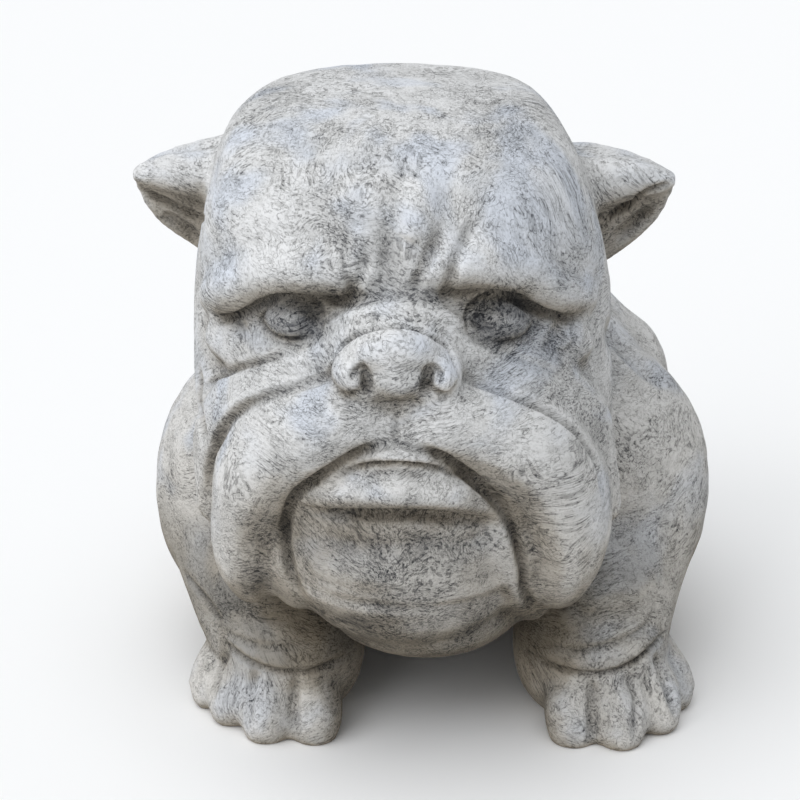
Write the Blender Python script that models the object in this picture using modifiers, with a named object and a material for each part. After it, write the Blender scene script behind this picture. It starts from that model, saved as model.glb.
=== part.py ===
"""A cast garden statue of a seated bulldog with an oversized head.

The statue is one casting. Its masses are laid down as balls and chains of balls, fused and
smoothed like clay, and the face, ears and toes are then pressed in along drawn strokes.
Lengths of the figure are shares of its own height. The face is drawn as it looks from EYE,
a point in front of the statue and above it: a mark is its place across and down a picture
800 wide, and a depth along Y puts it in space.
"""
import math

import bmesh
import bpy
import numpy as np
from mathutils import Matrix, Vector
from mathutils.bvhtree import BVHTree

# Driving sizes, in metres
STATUE_HEIGHT = 0.50
CLAY_GRAIN = 0.0060
SOLE_SNAP = 0.0006
WELD_REACH = 1e-7

# Rounds of smoothing: the bare masses, and the figure with its face and paws on
MASS_ROUNDS = 14
DRESSED_ROUNDS = 2

# Steps along a level stack and between the balls of a chain, as shares of the height and of
# the thinnest ball; corners round a level outline; marks between two landed points
LEVEL_STEP = 0.02
BALL_STEP = 0.4
LEVEL_SIDES = 48
STROKE_STEP = 4.0

# Triangles that the finished solid keeps, and how much less the face is thinned
SOLID_TRIANGLES = 8600
FACE_BEGINS = -0.06
FACE_THINNING = 0.80

# The view that the face is drawn in
EYE = (-0.0525, -2.999, 1.680)
EYE_TILT = math.radians(23.0)
PICTURE_MIDDLE = 400.0
PICTURE_REACH = 2000.0

STONE_COLOUR = (0.42, 0.42, 0.41, 1.0)


def clear_scene():
    for old in list(bpy.data.objects):
        bpy.data.objects.remove(old)


def sight(mark):
    """Direction from EYE through a mark of the picture, with a Y part of one."""
    across = (mark[0] - PICTURE_MIDDLE) / PICTURE_REACH
    up = (PICTURE_MIDDLE - mark[1]) / PICTURE_REACH
    ahead = math.cos(EYE_TILT) + up * math.sin(EYE_TILT)
    rise = up * math.cos(EYE_TILT) - math.sin(EYE_TILT)
    return Vector((across / ahead, 1.0, rise / ahead))


def seen(across, down, depth):
    """The point at Y = depth that stands at a mark of the picture."""
    return Vector(EYE) + sight((across, down)) * (depth - EYE[1])


def smooth_path(rows, step):
    """Rows of numbers along a smooth curve through the given rows, a step apart or less."""
    rows = [np.array(row, dtype=float) for row in rows]
    rows = [2 * rows[0] - rows[1]] + rows + [2 * rows[-1] - rows[-2]]
    path = []
    for a, b, c, d in zip(rows, rows[1:], rows[2:], rows[3:]):
        count = max(1, math.ceil(np.linalg.norm((c - b)[:3]) / step))
        for k in range(count):
            t = k / count
            path.append(0.5 * (2 * b + (c - a) * t + (2 * a - 5 * b + 4 * c - d) * t ** 2
                               + (3 * b - a - 3 * c + d) * t ** 3))
    path.append(rows[-2])
    return np.array(path)


class Clay:
    """Closed forms that overlap, gathered to be fused into one skin."""

    def __init__(self):
        self.points = []
        self.faces = []
        self.count = 0
        unit = bmesh.new()
        bmesh.ops.create_uvsphere(unit, u_segments=20, v_segments=12, radius=1.0)
        self.unit_points = np.array([v.co[:] for v in unit.verts])
        self.unit_faces = [[v.index for v in f.verts] for f in unit.faces]
        unit.free()

    def add(self, points, faces):
        self.points.append(np.array(points) * STATUE_HEIGHT)
        self.faces += [[k + self.count for k in face] for face in faces]
        self.count += len(points)

    def ball(self, centre, radii, turn=(0.0, 0.0, 0.0)):
        """A ball with three radii, turned about X, Y and Z by degrees."""
        angles = [math.radians(angle) for angle in turn]
        turned = (Matrix.Rotation(angles[2], 3, "Z") @ Matrix.Rotation(angles[1], 3, "Y")
                  @ Matrix.Rotation(angles[0], 3, "X"))
        points = (self.unit_points * np.array(radii)) @ np.array(turned).T + np.array(centre)
        self.add(points, self.unit_faces)

    def chain(self, stations, flat=(1.0, 1.0, 1.0)):
        """Overlapping balls along a smooth curve; a station is x, y, z and a radius."""
        thinnest = min(station[3] for station in stations)
        for x, y, z, radius in smooth_path(stations, BALL_STEP * thinnest):
            self.ball((x, y, z), [radius * share for share in flat])

    def drawn_chain(self, stations, flat=(1.0, 1.0, 1.0)):
        """A chain whose stations are a mark's across and down, its depth and a radius."""
        placed = [(*seen(across, down, depth), size) for across, down, depth, size in stations]
        self.chain(placed, flat)

    def stack(self, levels, sides=LEVEL_SIDES):
        """A closed form lofted through level outlines.

        A level is z, left, right, front, back and the squareness of its outline."""
        rings = smooth_path(levels, LEVEL_STEP)
        points = []
        for z, left, right, front, back, square in rings:
            for k in range(sides):
                c = math.cos(2 * math.pi * k / sides)
                s = math.sin(2 * math.pi * k / sides)
                across = math.copysign(abs(c) ** (2 / square), c)
                along = math.copysign(abs(s) ** (2 / square), s)
                points.append((left + (right - left) * (1 + across) / 2,
                               front + (back - front) * (1 + along) / 2, z))
        faces = [list(range(sides))[::-1], [(len(rings) - 1) * sides + k for k in range(sides)]]
        for level in range(len(rings) - 1):
            for k in range(sides):
                here, there = level * sides, level * sides + sides
                n = (k + 1) % sides
                faces.append([here + k, here + n, there + n, there + k])
        self.add(points, faces)

    def fuse(self, name, rounds):
        """One skin over all the forms, smoothed by the given rounds."""
        shape = bpy.data.meshes.new(name)
        shape.from_pydata(np.concatenate(self.points).tolist(), [], self.faces)
        lump = bpy.data.objects.new(name, shape)
        bpy.context.scene.collection.objects.link(lump)
        skin = lump.modifiers.new("Skin", "REMESH")
        skin.mode = "VOXEL"
        skin.voxel_size = CLAY_GRAIN
        soften = lump.modifiers.new("Soften", "SMOOTH")
        soften.factor = 0.5
        soften.iterations = rounds
        depsgraph = bpy.context.evaluated_depsgraph_get()
        settled = bpy.data.meshes.new_from_object(lump.evaluated_get(depsgraph))
        bpy.data.objects.remove(lump)
        return settled


# The masses of the figure

def lay_body(clay):
    """Ribcage, rump, haunches, shoulders, nape and stub of a tail."""
    clay.ball((0.0, 0.10, 0.36), (0.385, 0.30, 0.31))
    clay.ball((0.10, 0.12, 0.44), (0.225, 0.20, 0.165))
    clay.ball((0.284, 0.10, 0.415), (0.120, 0.14, 0.122))
    clay.ball((-0.235, 0.10, 0.405), (0.115, 0.14, 0.120))
    clay.ball((-0.02, 0.05, 0.775), (0.215, 0.13, 0.125))
    clay.ball((0.0, 0.19, 0.53), (0.23, 0.145, 0.14))
    clay.ball((0.0, -0.06, 0.40), (0.30, 0.24, 0.26))
    clay.ball((0.02, -0.22, 0.29), (0.23, 0.16, 0.13))
    clay.ball((0.0, 0.27, 0.21), (0.30, 0.22, 0.24))
    clay.chain([(0.0, 0.44, 0.10, 0.055), (0.0, 0.50, 0.13, 0.04)])
    for side in (-1, 1):
        clay.ball((side * 0.275, -0.05, 0.28), (0.178, 0.19, 0.24))
        clay.ball((side * 0.26, 0.17, 0.16), (0.15, 0.23, 0.18), (0.0, 0.0, side * 8))


def lay_head(clay):
    """Skull, cheeks and jaw, set a little to the figure's right."""
    clay.stack([
        (0.20, -0.20, 0.15, -0.36, -0.05, 2.2),
        (0.30, -0.29, 0.22, -0.41, 0.00, 2.6),
        (0.42, -0.340, 0.262, -0.44, 0.02, 2.9),
        (0.52, -0.358, 0.266, -0.45, 0.03, 2.7),
        (0.62, -0.360, 0.262, -0.43, 0.03, 2.4),
        (0.69, -0.356, 0.258, -0.422, 0.03, 2.5),
        (0.73, -0.351, 0.250, -0.430, 0.03, 2.6),
        (0.77, -0.342, 0.241, -0.450, 0.03, 2.7),
        (0.82, -0.333, 0.226, -0.458, 0.02, 2.6),
        (0.87, -0.321, 0.208, -0.445, 0.02, 2.5),
        (0.91, -0.308, 0.188, -0.412, 0.01, 2.5),
        (0.945, -0.280, 0.162, -0.352, -0.01, 2.4),
        (0.968, -0.238, 0.128, -0.28, -0.03, 2.4),
        (0.982, -0.16, 0.05, -0.20, -0.07, 2.2),
    ])
    clay.ball((-0.02, 0.02, 0.62), (0.25, 0.20, 0.22))
    clay.ball((-0.02, -0.26, 0.27), (0.16, 0.14, 0.10))


def lay_legs(clay):
    """Forelegs down to the wrist, one a little stouter than the other, and hind feet."""
    for side, wrist, stout in ((-1, -0.223, 0.118), (1, 0.247, 0.124)):
        clay.chain([(side * 0.285, -0.10, 0.24, 0.145), (side * 0.257, -0.19, 0.15, stout + 0.007),
                    (wrist, -0.240, 0.085, stout)])
        clay.chain([(side * 0.312, 0.12, 0.055, 0.074), (side * 0.310, -0.05, 0.045, 0.064)],
                   (1.0, 1.0, 0.85))


# The forms on top of them

def lay_brows(clay):
    clay.drawn_chain([(400, 270, -0.424, 0.034), (372, 270, -0.430, 0.036),
                      (330, 266, -0.430, 0.042),
                      (285, 266, -0.415, 0.042), (245, 282, -0.374, 0.042),
                      (222, 294, -0.330, 0.035)])
    clay.drawn_chain([(404, 268, -0.424, 0.034), (432, 264, -0.430, 0.036),
                      (475, 258, -0.430, 0.042),
                      (515, 266, -0.408, 0.043), (550, 285, -0.364, 0.044),
                      (575, 293, -0.325, 0.035)])
    clay.drawn_chain([(358, 290, -0.426, 0.028), (398, 287, -0.432, 0.031),
                      (438, 288, -0.426, 0.028)])


def lay_eyes(clay):
    clay.ball(seen(293, 317, -0.405), (0.042, 0.052, 0.032))
    clay.ball(seen(500, 318, -0.405), (0.046, 0.052, 0.034))
    clay.drawn_chain([(256, 322, -0.392, 0.014), (270, 341, -0.410, 0.016),
                      (295, 349, -0.420, 0.017), (318, 338, -0.428, 0.015),
                      (330, 318, -0.432, 0.014)])
    clay.drawn_chain([(460, 316, -0.432, 0.014), (474, 340, -0.428, 0.015),
                      (500, 351, -0.420, 0.017), (529, 343, -0.410, 0.016),
                      (543, 325, -0.392, 0.014)])
    clay.ball(seen(336, 309, -0.418), (0.027, 0.03, 0.020))
    clay.ball(seen(458, 307, -0.418), (0.027, 0.03, 0.020))
    clay.drawn_chain([(345, 331, -0.430, 0.023), (330, 348, -0.432, 0.030),
                      (296, 358, -0.415, 0.032), (254, 352, -0.380, 0.034),
                      (228, 336, -0.350, 0.034)])
    clay.drawn_chain([(449, 330, -0.430, 0.023), (464, 348, -0.432, 0.030),
                      (500, 360, -0.415, 0.032), (544, 354, -0.380, 0.034),
                      (572, 340, -0.350, 0.034)])


def lay_nose(clay):
    clay.ball(seen(396, 351, -0.500), (0.066, 0.056, 0.040), (-25, 0, 0))
    clay.ball(seen(397, 373, -0.506), (0.046, 0.048, 0.033))
    for across, inward in ((354, 366), (440, 428)):
        clay.ball(seen(across, 370, -0.500), (0.032, 0.046, 0.035))
        clay.ball(seen(inward, 382, -0.496), (0.030, 0.044, 0.022))
    clay.drawn_chain([(374, 397, -0.490, 0.022), (397, 399, -0.492, 0.024),
                      (420, 397, -0.490, 0.022)])
    clay.drawn_chain([(318, 358, -0.446, 0.027), (333, 341, -0.456, 0.024),
                      (350, 325, -0.468, 0.021), (373, 317, -0.476, 0.020),
                      (397, 314, -0.479, 0.020), (421, 317, -0.476, 0.020),
                      (444, 325, -0.468, 0.021), (461, 341, -0.456, 0.024),
                      (476, 358, -0.446, 0.027)])


def lay_muzzle(clay):
    """The hanging upper lips, from under the nose to the ends of the jowls."""
    clay.drawn_chain([(384, 410, -0.470, 0.052), (345, 415, -0.470, 0.062),
                      (302, 432, -0.450, 0.074), (270, 466, -0.415, 0.076),
                      (252, 512, -0.395, 0.060), (250, 550, -0.385, 0.054),
                      (254, 576, -0.375, 0.038)], (1.0, 1.25, 1.0))
    clay.drawn_chain([(410, 410, -0.470, 0.052), (450, 415, -0.470, 0.062),
                      (500, 428, -0.450, 0.074), (540, 456, -0.420, 0.080),
                      (560, 502, -0.400, 0.077), (563, 542, -0.395, 0.064),
                      (556, 572, -0.390, 0.052)], (1.0, 1.25, 1.0))


def lay_folds(clay):
    """The cheek folds that run above the muzzle, and the clay at the foot of each groove."""
    clay.drawn_chain([(330, 352, -0.450, 0.034), (298, 364, -0.430, 0.034),
                      (262, 378, -0.405, 0.032), (232, 395, -0.375, 0.030),
                      (213, 423, -0.345, 0.026), (205, 455, -0.325, 0.020)])
    clay.drawn_chain([(462, 352, -0.450, 0.034), (496, 363, -0.430, 0.034),
                      (530, 375, -0.405, 0.036), (566, 392, -0.375, 0.036),
                      (590, 416, -0.345, 0.030), (601, 448, -0.325, 0.024)])
    clay.drawn_chain([(322, 384, -0.452, 0.038), (276, 396, -0.430, 0.044),
                      (250, 410, -0.398, 0.046), (232, 432, -0.366, 0.046),
                      (222, 464, -0.345, 0.042), (220, 500, -0.335, 0.036)])
    clay.drawn_chain([(468, 384, -0.452, 0.038), (515, 397, -0.430, 0.044),
                      (546, 412, -0.402, 0.048), (572, 434, -0.368, 0.048),
                      (590, 466, -0.345, 0.042), (598, 502, -0.335, 0.036)])


def lay_mouth(clay):
    """Lower lip, the tongue's edge behind it, chin and throat."""
    clay.drawn_chain([(304, 495, -0.470, 0.022), (326, 489, -0.496, 0.026),
                      (352, 488, -0.518, 0.027), (396, 488, -0.531, 0.027),
                      (446, 490, -0.518, 0.027), (470, 495, -0.496, 0.026),
                      (488, 505, -0.470, 0.021)], (1.0, 1.3, 1.0))
    clay.drawn_chain([(334, 468, -0.484, 0.017), (362, 456, -0.508, 0.021),
                      (398, 449, -0.522, 0.025), (433, 456, -0.510, 0.021),
                      (461, 468, -0.484, 0.017)], (1.0, 1.5, 1.0))
    clay.drawn_chain([(366, 450, -0.482, 0.032), (330, 469, -0.462, 0.036),
                      (304, 496, -0.448, 0.040), (294, 522, -0.434, 0.042),
                      (292, 552, -0.422, 0.043), (302, 582, -0.398, 0.041)])
    clay.drawn_chain([(426, 450, -0.482, 0.032), (458, 467, -0.470, 0.037),
                      (482, 488, -0.458, 0.040), (500, 514, -0.446, 0.044),
                      (507, 548, -0.432, 0.046), (514, 578, -0.410, 0.044),
                      (530, 596, -0.374, 0.036)])
    clay.drawn_chain([(318, 514, -0.456, 0.036), (350, 514, -0.476, 0.040),
                      (396, 515, -0.486, 0.042), (445, 517, -0.476, 0.040),
                      (476, 521, -0.450, 0.036)])
    clay.ball(seen(396, 540, -0.430), (0.155, 0.104, 0.085))
    clay.ball(seen(398, 562, -0.412), (0.162, 0.110, 0.090))
    clay.ball(seen(408, 580, -0.385), (0.158, 0.118, 0.086))
    clay.ball(seen(424, 597, -0.350), (0.152, 0.122, 0.078))


def lay_ears(clay):
    """Each ear is a flap over a leaf, with the hollow open below the flap's edge."""
    left = ((-0.30, 0.783), (-0.375, 0.802), (-0.436, 0.828))
    right = ((0.215, 0.771), (0.284, 0.793), (0.342, 0.820))
    for root, middle, tip in (left, right):
        clay.chain([(root[0], -0.105, root[1], 0.102), (middle[0], -0.12, middle[1], 0.066),
                    (tip[0], -0.135, tip[1], 0.016)], (1.0, 0.35, 1.0))
        clay.chain([(root[0], -0.150, root[1] + 0.045, 0.044),
                    (middle[0], -0.155, middle[1] + 0.034, 0.033),
                    (tip[0], -0.150, tip[1] + 0.004, 0.016)], (1.0, 0.8, 1.0))


def lay_paws(clay):
    left = [(-0.354, -0.248, 0.032), (-0.316, -0.294, 0.038), (-0.258, -0.338, 0.042),
            (-0.184, -0.338, 0.045)]
    right = [(0.213, -0.346, 0.045), (0.285, -0.356, 0.043), (0.346, -0.316, 0.040),
             (0.380, -0.256, 0.032)]
    for toes, heel in ((left, -0.25), (right, 0.28)):
        clay.ball((heel, -0.26, 0.035), (0.115, 0.11, 0.06))
        for x, y, radius in toes:
            knuckle = (x + 0.25 * (heel - x), y + 0.07, 0.062, radius)
            clay.chain([knuckle, (x, y, 0.040, radius), (x, y - 0.02, 0.020, radius * 0.92)])


# Strokes drawn on the figure: name, marks, half width, depth pressed in

FACE_STROKES = [
    ("brow edge, left", [(218, 320), (242, 314), (265, 303), (284, 296), (318, 297),
                         (341, 301), (362, 299), (380, 298)], 0.011, 0.014),
    ("brow edge, right", [(418, 297), (438, 294), (462, 292), (486, 291), (515, 298), (534, 309),
                          (563, 318), (580, 316)], 0.011, 0.014),
    ("brow edge, middle", [(350, 301), (374, 298), (398, 296), (424, 297), (450, 298)],
     0.014, 0.004),
    ("crease round the nose", [(330, 382), (332, 362), (346, 342), (364, 331), (384, 326),
                               (410, 327), (431, 335), (450, 350), (460, 376)], 0.007, 0.011),
    ("nostril, left", [(353, 380), (354, 372), (360, 367), (368, 371)], 0.008, 0.009),
    ("nostril, right", [(441, 380), (440, 372), (434, 367), (426, 371)], 0.008, 0.009),
    ("nostril mouth, left", [(363, 370), (366, 382), (367, 396)], 0.012, 0.011),
    ("nostril mouth, right", [(431, 370), (427, 382), (426, 396)], 0.012, 0.011),
    ("nose wing, left", [(333, 382), (339, 391), (349, 395), (359, 391)], 0.007, 0.007),
    ("nose wing, right", [(459, 380), (453, 390), (444, 395), (434, 391)], 0.007, 0.007),
    ("lip parting", [(396, 398), (396, 414), (396, 438)], 0.005, 0.003),
    ("lip parting foot", [(396, 428), (396, 434), (396, 440)], 0.009, 0.004),
    ("cheek groove, left", [(328, 378), (303, 385), (274, 393), (246, 406), (230, 419),
                            (217, 441), (210, 470), (210, 495)], 0.013, 0.012),
    ("cheek groove, right", [(463, 378), (486, 386), (515, 396), (543, 408), (568, 423),
                             (586, 442), (598, 465), (603, 490)], 0.013, 0.012),
    ("lip line, left", [(396, 441), (366, 451), (341, 462), (318, 478), (297, 495),
                        (287, 518), (286, 550), (294, 580), (304, 594)], 0.012, 0.014),
    ("lip line, right", [(396, 441), (418, 449), (441, 457), (461, 469), (479, 485),
                         (496, 500), (508, 518), (518, 545), (524, 570), (525, 592),
                         (533, 607)], 0.012, 0.015),
    ("tongue edge", [(340, 473), (352, 469), (372, 465), (398, 464), (424, 466), (444, 470),
                     (456, 474)], 0.006, 0.010),
    ("lower lip edge", [(300, 509), (330, 511), (372, 513), (418, 514), (464, 519),
                        (490, 521)], 0.013, 0.014),
    ("chin edge", [(300, 580), (330, 598), (370, 607), (420, 610), (470, 603), (505, 590)],
     0.016, 0.004),
    ("upper fold, left", [(206, 386), (216, 379), (235, 369), (258, 362), (280, 355)],
     0.008, 0.010),
    ("upper fold, left, inner", [(270, 360), (300, 347), (326, 332), (352, 316)], 0.014, 0.005),
    ("upper fold, right", [(446, 318), (474, 336), (508, 355), (545, 369), (580, 384)],
     0.014, 0.006),
    ("under eye, right", [(556, 350), (566, 352), (574, 344), (577, 334)], 0.008, 0.005),
    ("furrow, left", [(386, 180), (392, 220), (390, 255), (386, 288)], 0.022, 0.008),
    ("furrow, left, outer", [(348, 298), (360, 276), (368, 250)], 0.013, 0.006),
    ("furrow, middle", [(440, 232), (429, 256), (420, 274), (413, 292)], 0.014, 0.009),
    ("furrow, right", [(476, 222), (464, 242), (454, 266), (447, 292)], 0.015, 0.011),
    ("furrow, brow left", [(346, 272), (350, 288), (354, 302)], 0.010, 0.005),
    ("forehead boss", [(425, 180), (419, 212), (408, 240)], 0.036, -0.012),
    ("brow boss, left", [(362, 225), (366, 262)], 0.026, -0.006),
]

LIMB_STROKES = [
    ("back behind the shoulder", [(605, 330), (640, 364), (664, 384)], 0.030, 0.012),
    ("neck, left", [(200, 375), (199, 405), (204, 438)], 0.016, 0.014),
    ("ear hollow, left", [(162, 216), (182, 228), (198, 240)], 0.020, 0.014),
    ("ear hollow, right", [(652, 210), (634, 224), (616, 240)], 0.020, 0.014),
    ("ear flap edge, left", [(142, 190), (160, 199), (180, 209), (204, 219)], 0.009, 0.012),
    ("ear flap edge, right", [(669, 184), (646, 193), (627, 205), (607, 217)], 0.009, 0.012),
    ("wrist, left", [(226, 644), (245, 659), (264, 668), (288, 672), (312, 671),
                     (344, 657)], 0.008, 0.010),
    ("wrist fold, left", [(218, 628), (246, 642), (275, 647), (310, 646)], 0.011, 0.004),
    ("wrist, right", [(535, 655), (548, 664), (572, 672), (602, 674), (632, 664),
                      (654, 646), (664, 632)], 0.008, 0.010),
    ("wrist fold, right", [(545, 644), (575, 650), (605, 646), (636, 634), (652, 618),
                           (656, 600)], 0.010, 0.006),
    ("arm fold, right", [(575, 612), (605, 614), (640, 606)], 0.012, 0.003),
    ("arm fold, left", [(225, 605), (260, 617), (300, 622)], 0.012, 0.003),
    ("elbow, left", [(184, 572), (197, 590), (208, 603), (221, 624)], 0.010, 0.007),
    ("toes, left 1", [(227, 652), (217, 674), (211, 700)], 0.013, 0.008),
    ("toes, left 2", [(258, 670), (251, 692), (248, 724)], 0.014, 0.008),
    ("toes, left 3", [(298, 672), (294, 698), (296, 730)], 0.014, 0.008),
    ("toes, right 1", [(588, 676), (593, 700), (592, 740)], 0.014, 0.008),
    ("toes, right 2", [(628, 674), (637, 698), (637, 738)], 0.014, 0.008),
    ("toes, right 3", [(655, 656), (666, 682), (677, 716)], 0.013, 0.011),
]

EYE_RINGS = (((293, 317), (31, 23)), ((500, 318), (34, 25)))
EYE_RING_HALF_WIDTH = 0.006
EYE_RING_DEPTH = 0.006
EYE_RING_MARKS = 25


def land(tree, marks):
    """Points where sight lines through smoothly joined marks meet the figure."""
    eye = Vector(EYE) * STATUE_HEIGHT
    landed = []
    for mark in smooth_path(marks, STROKE_STEP):
        hit = tree.ray_cast(eye, sight(mark).normalized())[0]
        if hit is not None:
            landed.append(hit[:])
    return np.array(landed)


def press(points, normals, line, half_width, depth):
    """Push the points near a line inwards; a negative depth raises them."""
    reach = half_width * STATUE_HEIGHT
    near = np.all((points > line.min(axis=0) - reach) & (points < line.max(axis=0) + reach), axis=1)
    index = np.nonzero(near)[0]
    spot = points[index]
    nearest = np.full(len(index), 1e9)
    place = np.zeros(len(index))
    for k, (start, end) in enumerate(zip(line, line[1:])):
        run = end - start
        share = np.clip((spot - start) @ run / max(run @ run, 1e-12), 0.0, 1.0)
        gap = np.linalg.norm(spot - start - share[:, None] * run, axis=1)
        closer = gap < nearest
        nearest[closer] = gap[closer]
        place[closer] = (k + share[closer]) / (len(line) - 1)
    fade = np.clip(np.minimum(place, 1 - place) * 4, 0.0, 1.0) ** 0.5
    bowl = np.clip(1 - (nearest / reach) ** 2, 0.0, 1.0) ** 2
    points[index] -= normals[index] * (bowl * (0.2 + 0.8 * fade) * depth * STATUE_HEIGHT)[:, None]


def carve(shape):
    """Press every stroke into the shape."""
    tree = BVHTree.FromPolygons([v.co for v in shape.vertices],
                                [p.vertices for p in shape.polygons])
    count = len(shape.vertices)
    points = np.empty(count * 3)
    normals = np.empty(count * 3)
    shape.vertices.foreach_get("co", points)
    shape.vertices.foreach_get("normal", normals)
    points = points.reshape(-1, 3)
    normals = normals.reshape(-1, 3)
    for name, marks, half_width, depth in FACE_STROKES + LIMB_STROKES:
        line = land(tree, marks)
        if len(line) > 1:
            press(points, normals, line, half_width, depth)
    for (across, down), (wide, high) in EYE_RINGS:
        ring = [(across + wide * math.cos(a), down + high * math.sin(a))
                for a in np.linspace(0, 2 * math.pi, EYE_RING_MARKS)]
        press(points, normals, land(tree, ring), EYE_RING_HALF_WIDTH, EYE_RING_DEPTH)
    shape.vertices.foreach_set("co", points.ravel())
    shape.update()


def model_form():
    core = Clay()
    lay_body(core)
    lay_head(core)
    lay_legs(core)
    core_shape = core.fuse("core", MASS_ROUNDS)
    dressed = Clay()
    dressed.add(np.array([v.co[:] for v in core_shape.vertices]) / STATUE_HEIGHT,
                [list(p.vertices) for p in core_shape.polygons])
    lay_brows(dressed)
    lay_eyes(dressed)
    lay_nose(dressed)
    lay_muzzle(dressed)
    lay_folds(dressed)
    lay_mouth(dressed)
    lay_ears(dressed)
    lay_paws(dressed)
    shape = dressed.fuse("dressed", DRESSED_ROUNDS)
    carve(shape)
    return shape


def thin_out(shape):
    """Fewer triangles, with more of them kept on the face and paws than on the back."""
    rough = bpy.data.objects.new("rough", shape)
    bpy.context.scene.collection.objects.link(rough)
    plain = rough.vertex_groups.new(name="plain")
    for v in shape.vertices:
        ahead = v.co.y < FACE_BEGINS * STATUE_HEIGHT
        plain.add([v.index], FACE_THINNING if ahead else 1.0, "REPLACE")
    collapse = rough.modifiers.new("Collapse", "DECIMATE")
    collapse.ratio = SOLID_TRIANGLES / (2 * len(shape.polygons))
    collapse.use_collapse_triangulate = True
    collapse.vertex_group = plain.name
    depsgraph = bpy.context.evaluated_depsgraph_get()
    thinned = bpy.data.meshes.new_from_object(rough.evaluated_get(depsgraph))
    bpy.data.objects.remove(rough)
    return thinned


def cut_sole(shape):
    """Cut everything below Z = 0 away and close the soles with flat faces."""
    solid = bmesh.new()
    solid.from_mesh(shape)
    for v in solid.verts:
        if abs(v.co.z) < SOLE_SNAP:
            v.co.z = 0.0
    everything = solid.verts[:] + solid.edges[:] + solid.faces[:]
    bmesh.ops.bisect_plane(solid, geom=everything, dist=WELD_REACH, plane_co=(0, 0, 0),
                           plane_no=(0, 0, -1), clear_outer=True)
    rims = [edge for edge in solid.edges if edge.is_boundary]
    bmesh.ops.triangle_fill(solid, edges=rims, use_beauty=True, normal=(0, 0, -1))
    bmesh.ops.triangulate(solid, faces=solid.faces[:])
    bmesh.ops.recalc_face_normals(solid, faces=solid.faces[:])
    solid.to_mesh(shape)
    solid.free()


def centre_over_origin(shape):
    """Bring the middle of the outline, seen from above, over the origin."""
    xs = [v.co.x for v in shape.vertices]
    ys = [v.co.y for v in shape.vertices]
    middle = Vector(((min(xs) + max(xs)) / 2, (min(ys) + max(ys)) / 2, 0.0))
    shape.transform(Matrix.Translation(-middle))


def stone():
    material = bpy.data.materials.new("stone")
    material.use_nodes = True
    shader = material.node_tree.nodes["Principled BSDF"]
    shader.inputs["Base Color"].default_value = STONE_COLOUR
    shader.inputs["Roughness"].default_value = 0.9
    shader.inputs["Metallic"].default_value = 0.0
    return material


def main():
    clear_scene()
    shape = thin_out(model_form())
    cut_sole(shape)
    centre_over_origin(shape)
    shape.materials.append(stone())
    bulldog = bpy.data.objects.new("bulldog", shape)
    figure = bpy.data.collections.new("bulldog statue")
    bpy.context.scene.collection.children.link(figure)
    figure.objects.link(bulldog)


main()
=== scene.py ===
import math

import bmesh
import bpy
import numpy as np
from mathutils import Matrix, Vector
from mathutils.bvhtree import BVHTree


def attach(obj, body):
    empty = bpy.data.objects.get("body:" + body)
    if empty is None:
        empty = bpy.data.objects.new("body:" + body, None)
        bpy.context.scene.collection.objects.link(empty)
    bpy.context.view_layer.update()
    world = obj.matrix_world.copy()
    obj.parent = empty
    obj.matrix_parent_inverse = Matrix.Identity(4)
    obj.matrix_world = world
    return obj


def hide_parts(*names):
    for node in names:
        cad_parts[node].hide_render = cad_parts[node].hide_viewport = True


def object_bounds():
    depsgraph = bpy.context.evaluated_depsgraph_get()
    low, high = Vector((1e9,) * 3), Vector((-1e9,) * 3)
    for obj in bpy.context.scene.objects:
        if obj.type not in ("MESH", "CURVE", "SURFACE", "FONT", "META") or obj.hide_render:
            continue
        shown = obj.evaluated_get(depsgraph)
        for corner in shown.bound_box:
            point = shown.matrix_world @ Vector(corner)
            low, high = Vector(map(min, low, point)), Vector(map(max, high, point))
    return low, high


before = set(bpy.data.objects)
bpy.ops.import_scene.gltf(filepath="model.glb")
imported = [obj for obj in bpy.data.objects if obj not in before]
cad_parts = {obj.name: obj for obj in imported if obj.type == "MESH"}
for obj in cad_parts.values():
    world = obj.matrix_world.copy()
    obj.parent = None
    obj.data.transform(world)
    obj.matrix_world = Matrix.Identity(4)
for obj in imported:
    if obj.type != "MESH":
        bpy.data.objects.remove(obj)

# The statue is modelled again as the solid was, in a finer grain and with finer carving.
# Lengths of the figure are shares of its height. The face is drawn as it looks from EYE:
# a mark is its place across and down a picture 800 wide, and a depth along Y puts it in space.

CAD_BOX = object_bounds()

# In metres: the height that shares are taken of, the grain of the masses and of the skin, how
# near to the ground a point is laid on it, and how near to the cut points are welded
STATUE_HEIGHT = 0.50
CORE_GRAIN = 0.0060
SKIN_GRAIN = 0.0042
SOLE_SNAP = 0.0005
WELD_REACH = 1e-7

# Rounds of smoothing for the masses and for the skin, and how far each one goes
CORE_ROUNDS = 14
SKIN_ROUNDS = 4
ROUND_SOFTNESS = 0.5

# Facets round a ball and from pole to pole, corners round a level outline, and the triangles
# that are left to be shown
BALL_SEGMENTS = 20
BALL_RINGS = 12
LEVEL_SIDES = 48
SHOWN_TRIANGLES = 192000

# Steps along a level stack and between the balls of a chain, as shares of the height and of
# the thinnest ball
LEVEL_STEP = 0.02
BALL_STEP = 0.35

# The view that the face is drawn in
EYE = (-0.0525, -2.999, 1.680)
EYE_TILT = math.radians(23.0)
PICTURE_MIDDLE = 400.0
PICTURE_REACH = 2000.0
SENSOR = 36.0


def sight(mark):
    """Direction from EYE through a mark of the picture, with a Y part of one."""
    across = (mark[0] - PICTURE_MIDDLE) / PICTURE_REACH
    up = (PICTURE_MIDDLE - mark[1]) / PICTURE_REACH
    ahead = math.cos(EYE_TILT) + up * math.sin(EYE_TILT)
    rise = up * math.cos(EYE_TILT) - math.sin(EYE_TILT)
    return Vector((across / ahead, 1.0, rise / ahead))


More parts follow.
